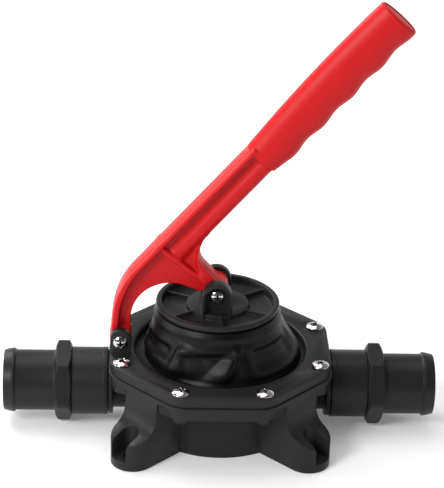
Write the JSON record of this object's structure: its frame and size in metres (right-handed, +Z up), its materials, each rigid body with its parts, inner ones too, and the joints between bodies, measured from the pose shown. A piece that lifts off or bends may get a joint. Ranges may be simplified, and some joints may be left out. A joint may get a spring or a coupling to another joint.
{
  "type": "manual bilge pump",
  "caption": "Hand-operated diaphragm bilge pump: a lever works a rubber dome over a footed bowl, with a flap valve and a hose tail at each side.",
  "frame": {"origin": "on the ground under the middle of the bowl", "axes": "+X along the ports from inlet to outlet, +Z up, -Y towards the side that the pin heads are on"},
  "size_m": [0.2702, 0.1384, 0.28],
  "materials": {
    "black_moulding": "fine moulded grain, satin",
    "black_rubber": "smooth satin rubber",
    "red_moulding": "smooth satin moulded plastic",
    "stainless_steel": "bright polished"
  },
  "bodies": {
    "base": {"pump_body": "black_moulding", "clamp_ring": "black_moulding", "clamp_screws": "stainless_steel", "diaphragm": "black_rubber", "lever_pivot_pin": "stainless_steel", "lever_pivot_nut": "stainless_steel", "inlet_gasket": "black_rubber", "inlet_valve_housing": "black_moulding", "inlet_valve_seat": "black_moulding", "inlet_hinge_pin": "stainless_steel", "inlet_o_ring": "black_rubber", "inlet_hose_tail": "black_moulding", "outlet_gasket": "black_rubber", "outlet_valve_housing": "black_moulding", "outlet_valve_seat": "black_moulding", "outlet_hinge_pin": "stainless_steel", "outlet_o_ring": "black_rubber", "outlet_hose_tail": "black_moulding"},
    "lever": {"lever": "red_moulding", "grip_cap": "red_moulding"},
    "plate": {"diaphragm_plate": "black_moulding", "backing_plate": "black_moulding", "backing_screws": "stainless_steel", "link_pin": "stainless_steel", "link_nut": "stainless_steel"},
    "inlet_flap": {"inlet_flap": "black_rubber"},
    "outlet_flap": {"outlet_flap": "black_rubber"}
  },
  "joints": [
    {"name": "lever_swing", "type": "hinge", "parent": "base", "child": "lever", "pos_m": [-0.0622, 0, 0.0602], "axis": [0, 1, 0], "range_deg": [-6, 34]},
    {"name": "plate_lift", "type": "slide", "parent": "base", "child": "plate", "axis": [-0.2588, 0, 0.9659], "range_m": [-0.0395, 0.0072], "deforming": ["diaphragm"]},
    {"name": "inlet_flap_swing", "type": "hinge", "parent": "base", "child": "inlet_flap", "pos_m": [-0.08106, 0, 0.0394], "axis": [0, -1, 0], "range_deg": [0, 45]},
    {"name": "outlet_flap_swing", "type": "hinge", "parent": "base", "child": "outlet_flap", "pos_m": [0.07796, 0, 0.0394], "axis": [0, -1, 0], "range_deg": [0, 45]}
  ],
  "couplings": [
    {"joint": "plate_lift", "follows": "lever_swing", "m_per_rad": -0.0661}
  ]
}
